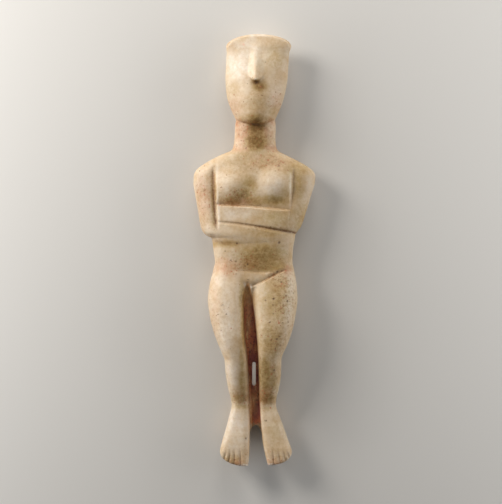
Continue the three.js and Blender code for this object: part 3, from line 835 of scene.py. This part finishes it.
# Olive-brown patina, and painted shade: beside and under the nose, under the breasts and the lower forearm,
# over the belly, down the right side of the face and body, on the right calf and at the ankles.
PATINA_AND_SHADE = [
    (1, 86, 6.5, 7, 1.2),  # down the throat
    (1, 75, 8, 7, 1.1),
    (2, 91, 11, 3, 0.65),  # under the chin
    (4, 62, 24, 10, 0.35),  # across the collar
    # The right shoulder and the right end of the forearms: painted shade on the side away from the key lamp,
    # over some patina.
    (30, 56, 11, 8, 0.5),
    (16, 22, 15, 7, 0.45),
    (12, 96, 8, 5, 0.4),
    (3, 101, 10, 7, 0.25),
    # Beside and under the nose: painted shade on the nose's right flank and underside, over a real stain.
    (3.5, 112.5, 5, 4, 0.85),  # beside the nose
    (1, 115.6, 3.5, 1.8, 1.0),
    (6, 128, 6, 10, 0.25),
    (14, 134, 9, 11, 0.35),
    (-14, 111, 6, 8, 0.25),
    (-4, 44, 6, 8, 0.55),  # between the breasts
    (-7, 38, 8, 5, 0.7),
    # Under the breasts: patina, and painted shade where the chest turns down.
    (-15, 34, 9, 3.5, 0.6),  # under them
    (0, 34, 12, 4, 0.6),
    (14, 34, 11, 4, 0.75),
    # The right side of the chest and the right arm: painted shade, over some patina.
    (22, 38, 4, 8, 0.4),
    (30, 44, 6, 14, 0.5),
    (32, 22, 8, 12, 0.5),
    (-28, 36, 2, 20, 0.5),
    # Under the lower forearm: painted shade.
    (-20, 4, 14, 2.5, 0.6),  # under the lower forearm
    (10, 12, 20, 5, 0.4),
    # The belly: patina, and painted shade under the forearms.
    (6, -4, 18, 10, 0.75),  # belly
    (8, -11, 18, 5, 0.75),
    (19, -8, 8, 8, 0.4),
    (-8.6, -34, 2, 12, 1.0),  # the cleft's rounded edge
    (-8.2, -62, 2, 30, 0.75),
    (-8, -92, 3, 16, 0.6),
    (14, -34, 14, 20, 0.4),
    (10, -62, 10, 16, 0.45),
    # The right calf: painted shade where its front turns down towards the ankle.
    (7, -86, 5, 15, 0.8),  # down the right calf
    (12, -90, 6, 12, 0.45),
    # The ankles: painted shade where the shins turn away from the light.
    (-10, -103, 7, 4.5, 0.55),  # ankles
    (9, -103, 7, 5, 0.75),
    (9, -110, 7, 3, 0.3),
    (14, -126, 7, 12, 0.25),
    (-9, -109, 7, 2.5, 0.4),
    (-16, -146, 9, 3, 0.4),
]
# Reddish blush, where iron in the ground or old paint coloured the marble.
BLUSH = [
    (-9, 82, 6, 8, 1.0),  # neck
    (9, 84, 5, 7, 0.7),
    (-10, 71, 10, 3, 0.8),
    (13, 71, 6, 3, 1.0),
    (8, 61, 14, 6, 0.5),
    (-12, 88, 4, 4, 0.9),
    (12, 89, 3, 3, 0.9),
    (-14, 99, 5, 8, 0.5),
    (15, 101, 4, 8, 0.5),
    (-6, 34, 10, 3, 0.5),
    (-36, 36, 5, 16, 0.6),
    (-19, -12, 10, 6, 0.8),  # hips
    (23, -14, 3, 4, 1.0),
    (-3, -10, 8, 4, 0.5),
    (-28, -40, 4, 22, 0.3),
    (8, -102, 6, 5, 0.9),
    (12, -148, 8, 3, 0.7),
    (-13, -148, 6, 3, 0.8),
    (-9, -102, 6, 4, 0.4),
    (-14, 32.5, 9, 2.5, 0.8),
]
# Cleaner, paler marble, and painted highlights on the right breast, along the lit edges of the arm lines and on
# the rim of the crown.
PALE_AND_HIGHLIGHTS = [
    (-11, 130, 10, 12, 1.0),  # forehead
    (0, 136, 18, 10, 0.8),
    (-13, 108, 6, 8, 0.4),
    (13.5, 45.5, 7, 7, 0.7),  # right breast: a painted highlight
    (-21, 42, 6, 9, 0.3),
    (-14, 25, 10, 4, 0.5),
    (24, -34, 4, 13, 0.8),  # outside of the right thigh
    (-20, -50, 6, 22, 0.7),
    (-24, -22, 6, 10, 0.3),
    (-16, -84, 4, 12, 0.6),
    (-13, -124, 7, 13, 1.0),  # insteps
    (14, -128, 8, 10, 0.15),
    (-26.0, 50, 0.8, 8, 1.0),  # painted highlights along the lit edges of the arm lines
    (-25.4, 37, 0.8, 8, 1.0),
    (-24.4, 23, 0.8, 8, 1.0),
    (25.0, 45, 0.8, 10, 1.0),
    (3, 149.2, 22, 1.6, 0.9),  # a painted highlight on the rim of the crown
]
# Yellow ochre through the red ground of the leg cleft.
OCHRE = [
    (-5, -29, 6, 11, 1.0),
    (-4.2, -46, 1.6, 18, 0.5),
    (-0.7, -106, 1.8, 9, 1.0),
    (-2.6, -112, 1.0, 14, 0.8),
]
# Small dark root marks and specks, thickest down the right thigh.
SPECKS = [
    (20, -34, 8, 18, 1.0),
    (14, -62, 9, 14, 0.8),
    (17, -20, 7, 6, 0.8),
    (-4, -8, 18, 6, 0.7),
    (2, 80, 8, 12, 1.0),
    (10, 60, 14, 6, 0.6),
    (-12, 36, 12, 7, 0.8),
    (-14, 55, 10, 8, 0.3),
    (-36, 30, 6, 22, 0.4),
    (10, 15, 14, 1.2, 1.0),  # in the lines
    (-28, 34, 1.6, 18, 1.0),
    (-15, 31.5, 12, 1.5, 1.0),
    (8, -100, 8, 10, 0.8),
    (-10, -104, 7, 6, 0.6),
    (10, -84, 8, 12, 0.5),
    (4, 104, 12, 8, 0.3),
    (-24, -50, 8, 24, 0.25),
    (-14, -144, 10, 6, 0.35),
    (16, -144, 10, 6, 0.35),
]

PATCHES = dict(patina_and_shade=PATINA_AND_SHADE, blush=BLUSH, pale=PALE_AND_HIGHLIGHTS, ochre=OCHRE, specks=SPECKS)
PATCH_FALLOFF = 1.3  # 1 is a bell, and more is flatter with a steeper edge
SIDES = (6, 10)  # the heights between which the back's even share gives way to the front's patches
BACK_SHARE = 0.3
CREVICE_REACH = 1.2
HOLLOW_REACH = 5.0
EDGE_REACH = 1.4


def patches(points, spots):
    """How strongly soft patches cover the points of the front; the back has a weak even share."""
    x, y, z = points.T
    cover = np.zeros(len(points))
    for cx, cy, half_width, half_height, strength in spots:
        away = ((x - cx) / half_width) ** 2 + ((y - cy) / half_height) ** 2
        cover = np.maximum(cover, strength * np.exp(-(away**PATCH_FALLOFF)))
    to_front = smooth_step(z, *SIDES)
    return cover * to_front + BACK_SHARE * (1 - to_front)


def hollowness(points, normals, reach):
    """How shut in the marble is at each point, from 0 on the open skin to 1 in a narrow cut."""
    outside = figure(*(points + normals * reach).T)
    return np.clip(1 - outside / reach, 0, 1)


def sharpness(points, normals, reach):
    """How far the marble stands out at each point, from 0 on the open skin to 1 on a sharp edge."""
    inside = figure(*(points - normals * reach).T)
    return np.clip(1 + inside / reach, 0, 1)


def pigment_cover(points):
    """Where the red ground lies in the leg cleft: on its floor, and a little up its walls."""
    x, y, z = points.T
    left, right, floor = CLEFT_RUN(y)
    between = smooth_step(x, left + 0.4, left + 1.6) * smooth_step(-x, -right - 0.4, -right + 0.6)
    low = smooth_step(-z, -floor - 7, -floor - 1.5)
    span = smooth_step(-y, 21, 25) * smooth_step(y, -124, -119)
    in_front = smooth_step(z, floor - 3.5, floor - 2.5)
    return between * low * span * in_front


def note_on(mesh, name, values):
    """Stores a number for each point of a mesh."""
    layer = mesh.attributes.new(name, "FLOAT", "POINT")
    layer.data.foreach_set("value", np.ascontiguousarray(values, dtype=np.float32))


def stain(piece, points):
    """Notes on the marble where it is hollow or on a sharp edge, and where soil, patina, rust and pigment lie;
    the hollows give painted shade, the edges painted highlights, and some soil and patina patches are painted
    shade.
    """
    normals = slope(points)
    normals /= np.maximum(np.linalg.norm(normals, axis=1), 1e-6)[:, None]
    x, y, z = points.T
    in_front = smooth_step(z, 12, 16)
    _, front_soil = deepest(x, y, FRONT_CUTS)
    _, back_soil = deepest(x, y, BACK_GOUGES.values())
    front_soil = np.maximum(front_soil, patches(points, SOIL_AND_SHADE))
    stained_pits = [mound(x, y, cx, cy, radius * 1.6, 1) for cx, cy, radius, _ in PITS]
    hollow = hollowness(points, normals, HOLLOW_REACH)
    notes = {name: patches(points, spots) for name, spots in PATCHES.items()}
    notes["rust"] = np.minimum(notes["blush"] + notes["specks"], 1)
    # Soil in the gouged lines, with the soil patches, some of which are painted shade.
    notes["soil"] = front_soil * in_front + back_soil * (1 - in_front)
    notes["pits"] = np.max(stained_pits, axis=0) * in_front
    # The narrow cuts, which the material fills with brown: dirt in the cuts, and painted shade in the same
    # places.
    notes["crevice"] = hollowness(points, normals, CREVICE_REACH)
    # The broad hollows, which the material darkens and yellows as painted shade.
    notes["hollow"] = hollow
    # Sharp edges away from the hollows, which the material makes paler: wear on the edges, and painted
    # highlights along them.
    notes["edge_wear_and_highlight"] = sharpness(points, normals, EDGE_REACH) * np.clip(1 - 1.8 * hollow, 0, 1)
    notes["pigment"] = pigment_cover(points)
    for name, values in notes.items():
        note_on(piece.data, name, values)


# ---- Materials ----

# A stain's row: the note that says where it lies and how that counts, its patches and how they count, the
# share of both at which it starts and is full, how it is laid on, and its colour. Patches have a size in
# millimetres, a detail and a roughness. What counts is low, high, and the share given at each.
STAINS = [
    # Cleaner marble, and painted highlights on a few lit spots and edges.
    ("pale", (0, 1, 0, 1), (7.0, 3, 0.6), (0.3, 0.6, 0.7, 1), (0, 1), "MIX", "#F1E7DA"),
    ("specks", (0, 0.8, 0.25, 1), (2.0, 5, 0.7), (0.56, 0.34, 0, 1), (0, 1), "MULTIPLY", "#D9CDB9"),
    (None, None, (8.0, 3, 0.6), (0.6, 0.34, 0, 1), (0, 1), "MULTIPLY", "#F5ECDD"),
    # Patina, and painted shade under forms and down the right side.
    ("patina_and_shade", (0, 1.2, 0, 1.2), (3.0, 5, 0.75), (0.36, 0.62, 0.55, 1.2), (0, 0.5), "MULTIPLY", "#DDD2AC"),
    ("patina_and_shade", (0, 1.2, 0, 1.2), (3.0, 5, 0.75), (0.36, 0.62, 0.55, 1.2), (0.5, 1), "MULTIPLY", "#C3B590"),
    ("blush", (0, 1, 0, 1), (3.5, 4, 0.6), (0.38, 0.62, 0.3, 1), (0, 1), "MULTIPLY", "#F3CFC2"),
    # Painted shade: a darker, yellower tone in the broad hollows.
    ("hollow", (0, 1, 0, 1), (5.0, 4, 0.6), (0.3, 0.7, 0.5, 1), (0, 1), "MULTIPLY", "#C8A872"),
    # Paler sharp edges: edge wear, and painted highlights along the edges.
    ("edge_wear_and_highlight", (0.03, 0.25, 0, 0.8), (3.0, 3, 0.6), (0.3, 0.5, 0.5, 1), (0, 1), "MIX", "#F4EADD"),
    # Brown in the narrow cuts: dirt, and painted shade in the same places.
    ("crevice", (0.35, 1, 0, 0.55), (2.2, 4, 0.6), (0.35, 0.6, 0.2, 1), (0, 1), "MIX", "#845C30"),
    # Dark brown: soil in the gouged lines, and painted shade under the nose, chin, left breast and elbow.
    ("soil", (0, 1, 0, 1), (1.6, 4, 0.6), (0.4, 0.58, 0.35, 1), (0, 1), "MIX", "#754A20"),
]
# Rust flecks, then dark root marks. A row: the note that says where, the share of cells marked with none
# and with all of it, a cell's size in millimetres, the least and greatest radius in cells, how worn patches
# count, the dice between which the tone changes, and the two tones.
FLECKS = [
    ("rust", (0, 1), 1.7, (0.16, 0.5), (0.35, 0.6, 0.25, 0.85), (0.1, 0.9), ("#8F6034", "#BC6E4A")),
    ("specks", (0.03, 0.85), 3.0, (0.1, 0.33), (0.3, 0.6, 0.35, 0.8), (0.3, 0.7), ("#6A4E34", "#8A6238")),
]
FLECK_EDGE = 0.1
# The red ground over its ochre: patches, how they count, how far they are drawn out down the cleft, colour.
GROUND_TONES = [
    ((3.0, 5, 0.7), (0.34, 0.5, 0, 1), 4, "#CC7F5C"),
    ((4.0, 4, 0.6), (0.44, 0.58, 0, 0.85), 3, "#A05A54"),
    ((1.8, 3, 0.6), (0.54, 0.64, 0, 0.7), 1, "#63352F"),
]


def linear(hex_colour):
    """An sRGB hex colour as linear RGBA."""
    channels = [int(hex_colour[i : i + 2], 16) / 255 for i in (1, 3, 5)]
    return [c / 12.92 if c <= 0.04045 else ((c + 0.055) / 1.055) ** 2.4 for c in channels] + [1]


def add(tree, kind, settings=None, **links):
    """Adds a node. Settings and links go to inputs by name, or by number, which a link gives as n0, n1 ...

    A setting that is no input is one of the node's own properties.
    """
    node = tree.nodes.new("ShaderNode" + kind)
    for name, value in (settings or {}).items():
        if isinstance(name, int) or name in node.inputs:
            node.inputs[name].default_value = value
        else:
            setattr(node, name, value)
    for name, source in links.items():
        is_number = name[0] == "n" and name[1:].isdigit()
        tree.links.new(source, node.inputs[int(name[1:]) if is_number else name.replace("_", " ")])
    return node


def counts(low, high, at_low=0.0, at_high=1.0):
    """The settings that count low as one share and high as another, with an even rise between."""
    return {"From Min": low, "From Max": high, "To Min": at_low, "To Max": at_high}


def over(colour, blend="MIX"):
    """The settings that lay a colour on what is below it."""
    return {"data_type": "RGBA", "blend_type": blend, 7: linear(colour)}


def patchy(tree, place, look, shares, stretch=1):
    """Irregular patches with a look (millimetres, detail, roughness), drawn out along the figurine."""
    size_mm, detail, roughness = look
    scale = 1000 / size_mm
    stretched = add(tree, "Mapping", {"Scale": (scale, scale / stretch, scale)}, Vector=place)
    settings = {"Scale": 1.0, "Detail": detail, "Roughness": roughness}
    pattern = add(tree, "TexNoise", settings, Vector=stretched.outputs[0])
    return add(tree, "MapRange", counts(*shares), Value=pattern.outputs["Fac"]).outputs[0]


def bare_marble(tree, place):
    """The marble's own cloudy cream."""
    clouds = patchy(tree, place, (18.0, 2, 0.6), (0.3, 0.7, 0, 1))
    return add(tree, "Mix", {**over("#E2D0B7"), 6: linear("#D6BE9D")}, n0=clouds).outputs[2]


def weathered(tree, place, colour):
    """The skin that burial gave the marble, one stain after another, with painted shade in the hollows and
    under forms, and painted highlights on edges and a few lit spots.
    """
    for note, note_counts, look, look_counts, full, blend, stain_colour in STAINS:
        cover = patchy(tree, place, look, look_counts)
        if note:
            noted = add(tree, "Attribute", {"attribute_name": note}).outputs["Fac"]
            lies = add(tree, "MapRange", counts(*note_counts), Value=noted).outputs[0]
            cover = add(tree, "Math", {"operation": "MULTIPLY"}, n0=lies, n1=cover).outputs[0]
        amount = add(tree, "MapRange", counts(*full), Value=cover).outputs[0]
        colour = add(tree, "Mix", over(stain_colour, blend), n0=amount, n6=colour).outputs[2]
    return colour


def flecked(tree, place, colour):
    """Rust flecks and root marks: some cells of an uneven net hold one, with its own size and tone."""
    crowded = patchy(tree, place, (6.0, 3, 0.6), (0.38, 0.62, 0.15, 1))
    for note, share, size_mm, radii, worn_counts, tone_counts, (first_tone, last_tone) in FLECKS:
        noted = add(tree, "Attribute", {"attribute_name": note}).outputs["Fac"]
        lies = add(tree, "Math", {"operation": "MULTIPLY"}, n0=noted, n1=crowded).outputs[0]
        wanted = add(tree, "MapRange", counts(0, 1, *share), Value=lies).outputs[0]
        wobble = add(tree, "TexNoise", {"Scale": 1800 / size_mm, "Detail": 2.0}, Vector=place)
        bend = {"operation": "MULTIPLY_ADD", 1: (0.001 * size_mm,) * 3}
        bent = add(tree, "VectorMath", bend, n0=wobble.outputs["Color"], n2=place).outputs[0]
        cells = add(tree, "TexVoronoi", {"Scale": 1000 / size_mm}, Vector=bent)
        dice = add(tree, "SeparateColor", Color=cells.outputs["Color"]).outputs
        radius = add(tree, "MapRange", counts(0, 1, *radii), Value=dice["Green"]).outputs[0]
        inwards = add(tree, "Math", {"operation": "SUBTRACT"}, n0=radius, n1=cells.outputs["Distance"])
        shape = add(tree, "MapRange", counts(0, FLECK_EDGE), Value=inwards.outputs[0]).outputs[0]
        chosen = add(tree, "Math", {"operation": "LESS_THAN"}, n0=dice["Red"], n1=wanted).outputs[0]
        fleck = add(tree, "Math", {"operation": "MULTIPLY"}, n0=shape, n1=chosen).outputs[0]
        worn = patchy(tree, place, (1.2, 2, 0.6), worn_counts)
        amount = add(tree, "Math", {"operation": "MULTIPLY"}, n0=fleck, n1=worn).outputs[0]
        tone_share = add(tree, "MapRange", counts(*tone_counts), Value=dice["Blue"]).outputs[0]
        tone = add(tree, "Mix", {**over(last_tone), 6: linear(first_tone)}, n0=tone_share).outputs[2]
        colour = add(tree, "Mix", {"data_type": "RGBA"}, n0=amount, n6=colour, n7=tone).outputs[2]
    return colour


def pitted(tree, colour):
    """Brown dirt in the pits."""
    noted = add(tree, "Attribute", {"attribute_name": "pits"}).outputs["Fac"]
    amount = add(tree, "MapRange", counts(0.15, 0.9, 0, 0.75), Value=noted).outputs[0]
    return add(tree, "Mix", over("#5E4225"), n0=amount, n6=colour).outputs[2]


def red_ground(tree, place):
    """Old red paint in streaks over yellow ochre, which is bare at the cleft's head and between the ankles."""
    sandy = patchy(tree, place, (3.0, 4, 0.6), (0.3, 0.6, 0, 1))
    ochre = add(tree, "Mix", {**over("#EFCB94"), 6: linear("#D0A264")}, n0=sandy).outputs[2]
    colour = ochre
    for look, look_counts, stretch, tone in GROUND_TONES:
        cover = patchy(tree, place, look, look_counts, stretch)
        colour = add(tree, "Mix", over(tone), n0=cover, n6=colour).outputs[2]
    noted = add(tree, "Attribute", {"attribute_name": "ochre"}).outputs["Fac"]
    streaks = patchy(tree, place, (3.0, 5, 0.7), (0.4, 0.6, 1, 0.7), 4)
    bare = add(tree, "Math", {"operation": "MULTIPLY"}, n0=noted, n1=streaks).outputs[0]
    return add(tree, "Mix", {"data_type": "RGBA"}, n0=bare, n6=colour, n7=ochre).outputs[2]


def painted_cleft(tree, place, colour):
    """The red ground laid over the marble in the cleft, with a flaked edge."""
    noted = add(tree, "Attribute", {"attribute_name": "pigment"}).outputs["Fac"]
    flakes = patchy(tree, place, (2.5, 3, 0.6), (0.35, 0.65, -0.2, 0.2))
    flaked = add(tree, "Math", {"operation": "ADD", "use_clamp": True}, n0=noted, n1=flakes).outputs[0]
    amount = add(tree, "MapRange", counts(0.3, 0.6), Value=flaked).outputs[0]
    ground = red_ground(tree, place)
    return add(tree, "Mix", {"data_type": "RGBA"}, n0=amount, n6=colour, n7=ground).outputs[2]


def parian_marble():
    """Parian marble: fine, translucent grains, smoothed with emery, so it glows and never shines.

    Long burial gave it a warm skin, brown patina in the hollows, red iron specks and dark root marks; its
    colour also holds painted shade in hollows and under forms, and painted highlights on edges and a few lit
    spots.
    """
    material = bpy.data.materials.new("parian_marble")
    material.use_nodes = True
    tree = material.node_tree
    shader = tree.nodes["Principled BSDF"]
    place = add(tree, "TexCoord").outputs["Object"]
    skin_colour = pitted(tree, flecked(tree, place, weathered(tree, place, bare_marble(tree, place))))
    tree.links.new(painted_cleft(tree, place, skin_colour), shader.inputs["Base Color"])
    handled = patchy(tree, place, (2.5, 4, 0.6), (0.3, 0.7, 0.4, 0.58))
    tree.links.new(handled, shader.inputs["Roughness"])
    shader.inputs["IOR"].default_value = 1.56
    shader.inputs["Subsurface Weight"].default_value = 0.18
    shader.inputs["Subsurface Radius"].default_value = (1.0, 0.75, 0.5)
    shader.inputs["Subsurface Scale"].default_value = 0.004
    grains = patchy(tree, place, (0.9, 4, 0.7), (0, 1, 0, 1))
    dimples = patchy(tree, place, (4.5, 3, 0.5), (0, 1, 0, 1))
    worn = add(tree, "Bump", {"Strength": 0.5, "Distance": 0.0005}, Height=dimples).outputs[0]
    fine = add(tree, "Bump", {"Strength": 0.22, "Distance": 0.00025}, Height=grains, Normal=worn).outputs[0]
    tree.links.new(fine, shader.inputs["Normal"])
    return material


def pale_plaster():
    """A plain, pale, matt table top."""
    material = bpy.data.materials.new("pale_plaster")
    material.use_nodes = True
    shader = material.node_tree.nodes["Principled BSDF"]
    shader.inputs["Base Color"].default_value = linear("#D9D8D5")
    shader.inputs["Roughness"].default_value = 0.9
    return material


# ---- The figurine ----

figurine, skin = carved_figurine()
stain(figurine, skin)
figurine.data.materials.append(parian_marble())
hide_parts("figurine")
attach(figurine, "root")

# ---- The table, the lamps and the camera ----

TABLE_HALF = 4 * (HIGH.y - LOW.y)
# Rectangular lamps: a key from the upper left, a weak one past the head and one on the right, and low
# strips along both sides and past the crown. Name, place from the middle of the figurine and size in
# metres, watts, colour.
LAMPS = [
    ("key", (-0.72, 0.52, 0.46), (0.4, 0.4), 6.5, "#FFF8EF"),
    ("head_light", (0.1, 0.8, 0.5), (0.4, 0.4), 1.7, "#FFF8F0"),
    ("right_fill", (0.8, 0.05, 0.42), (0.35, 0.35), 0.7, "#FFF8F0"),
    ("left_strip", (-0.42, 0.05, 0.12), (0.7, 0.1), 1.1, "#FFFFFF"),
    ("right_strip", (0.42, 0.05, 0.12), (0.7, 0.1), 0.9, "#FFFFFF"),
    ("crown_strip", (0, 0.5, 0.06), (0.5, 0.1), 0.6, "#FFFFFF"),
]
WORLD_LIGHT = 0.1
LENS_MM = 110
SENSOR_MM = 36
SEEN = 349.6 * PART  # how much of the table the picture is wide, at the height of the front
FRONT_HEIGHT = 20 * PART
EYE_OFFSET = Vector((-2.4, -1.5, 0)) * PART


def table():
    """The plain table top that the figurine lies on."""
    ends = (-TABLE_HALF, TABLE_HALF)
    corners = [(ends[i], ends[j], LOW.z) for i, j in ((0, 0), (1, 0), (1, 1), (0, 1))]
    mesh = bpy.data.meshes.new("table_top")
    mesh.from_pydata(corners, [], [(0, 1, 2, 3)])
    mesh.materials.append(pale_plaster())
    top = bpy.data.objects.new("table_top", mesh)
    bpy.context.collection.objects.link(top)


def soft_box(name, place, size, watts, colour):
    """A soft rectangular lamp that looks at the middle of the figurine."""
    lamp = bpy.data.lights.new(name, "AREA")
    lamp.shape = "RECTANGLE"
    lamp.size, lamp.size_y = size
    lamp.energy = watts
    lamp.color = linear(colour)[:3]
    box = bpy.data.objects.new(name, lamp)
    box.location = MIDDLE + Vector(place)
    box.rotation_euler = (-Vector(place)).to_track_quat("-Z", "Y").to_euler()
    bpy.context.collection.objects.link(box)


def studio():
    """The lamps and a weak, even light from all round."""
    for lamp in LAMPS:
        soft_box(*lamp)
    world = bpy.data.worlds.new("studio")
    world.use_nodes = True
    background = world.node_tree.nodes["Background"]
    background.inputs["Color"].default_value = linear("#FFFFFF")
    background.inputs["Strength"].default_value = WORLD_LIGHT
    bpy.context.scene.world = world


def camera():
    """Looks straight down on the figurine through a long lens, with the crown at the top of the frame."""
    lens = bpy.data.cameras.new("camera")
    lens.lens = LENS_MM
    lens.sensor_width = SENSOR_MM
    eye = bpy.data.objects.new("camera", lens)
    height = FRONT_HEIGHT + SEEN * LENS_MM / SENSOR_MM
    eye.location = (MIDDLE.x + EYE_OFFSET.x, MIDDLE.y + EYE_OFFSET.y, height)
    bpy.context.collection.objects.link(eye)
    bpy.context.scene.camera = eye


table()
studio()
camera()
bpy.context.scene.view_settings.view_transform = "Standard"
